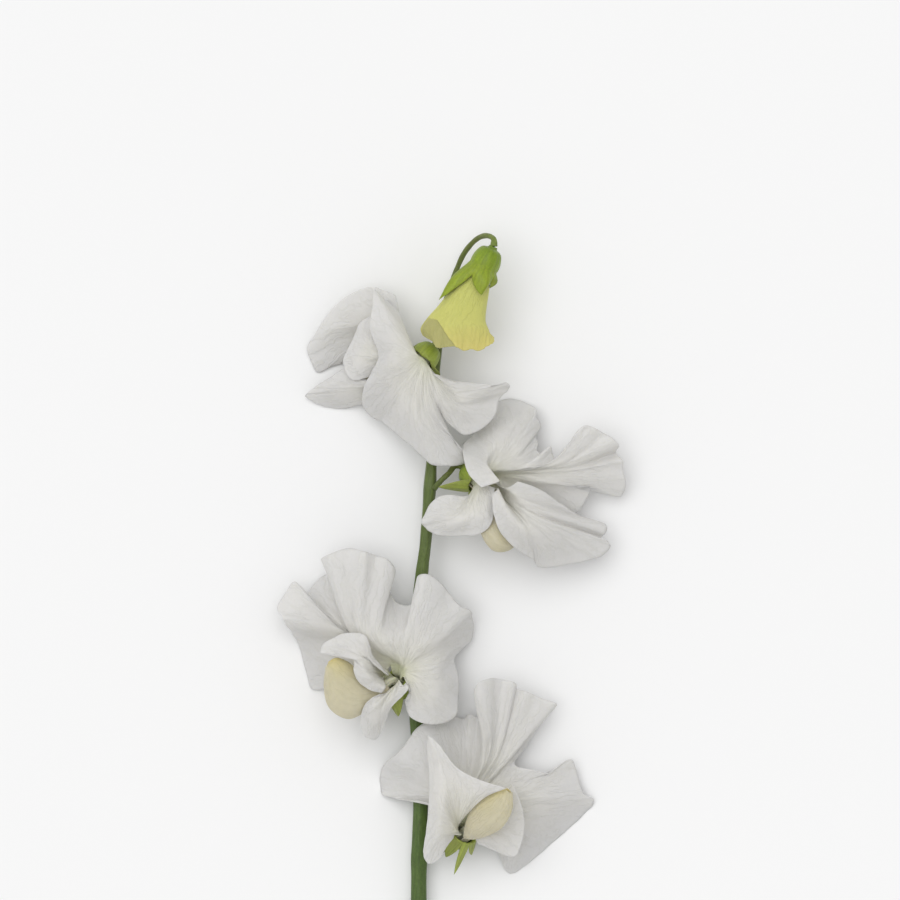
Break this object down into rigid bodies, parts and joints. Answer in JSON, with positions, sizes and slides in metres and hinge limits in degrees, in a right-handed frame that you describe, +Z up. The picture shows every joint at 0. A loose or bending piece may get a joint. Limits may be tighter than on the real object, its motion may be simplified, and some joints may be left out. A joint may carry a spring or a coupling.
{
  "type": "sweet pea flower",
  "caption": "Cut flowering stem of a white sweet pea: ruffled open blooms with standard, wings and keel, green calyxes, and a nodding green bud at the tip.",
  "frame": {"origin": "middle of the footprint of the lying flower, on the surface that it lies on", "axes": "+Y along the stem from its cut end towards the tip, +Z up from the surface, +X to the right of the stem"},
  "size_m": [0.0784, 0.212, 0.0226],
  "materials": {
    "stem_green": "smooth, slightly waxy green stem",
    "stalk_green": "green flower stalk",
    "calyx_green": "green calyx, matt, finely hairy",
    "bud_calyx_green": "fresh yellow-green calyx",
    "petal_white": "soft white petal with fine veins",
    "keel_cream": "cream keel petals, yellower along the edge",
    "bud_petal_green": "pale yellow-green folded bud petals",
    "filament_cream": "pale greenish filaments",
    "pistil_green": "pale green pistil"
  },
  "bodies": {
    "root": {"stem": "stem_green", "pedicel_1": "stalk_green", "calyx_1": "calyx_green", "standard_1": "petal_white", "left_wing_1": "petal_white", "right_wing_1": "petal_white", "keel_1": "keel_cream", "stamen_column_1": "filament_cream", "pistil_1": "pistil_green", "pedicel_2": "stalk_green", "calyx_2": "calyx_green", "standard_2": "petal_white", "left_wing_2": "petal_white", "right_wing_2": "petal_white", "keel_2": "keel_cream", "stamen_column_2": "filament_cream", "pistil_2": "pistil_green", "pedicel_3": "stalk_green", "calyx_3": "calyx_green", "standard_3": "petal_white", "left_wing_3": "petal_white", "right_wing_3": "petal_white", "keel_3": "keel_cream", "stamen_column_3": "filament_cream", "pistil_3": "pistil_green", "pedicel_4": "stalk_green", "calyx_4": "calyx_green", "standard_4": "petal_white", "left_wing_4": "petal_white", "right_wing_4": "petal_white", "keel_4": "keel_cream", "stamen_column_4": "filament_cream", "pistil_4": "pistil_green", "pedicel_5": "stalk_green", "calyx_5": "bud_calyx_green", "bud_petals": "bud_petal_green"}
  },
  "joints": []
}
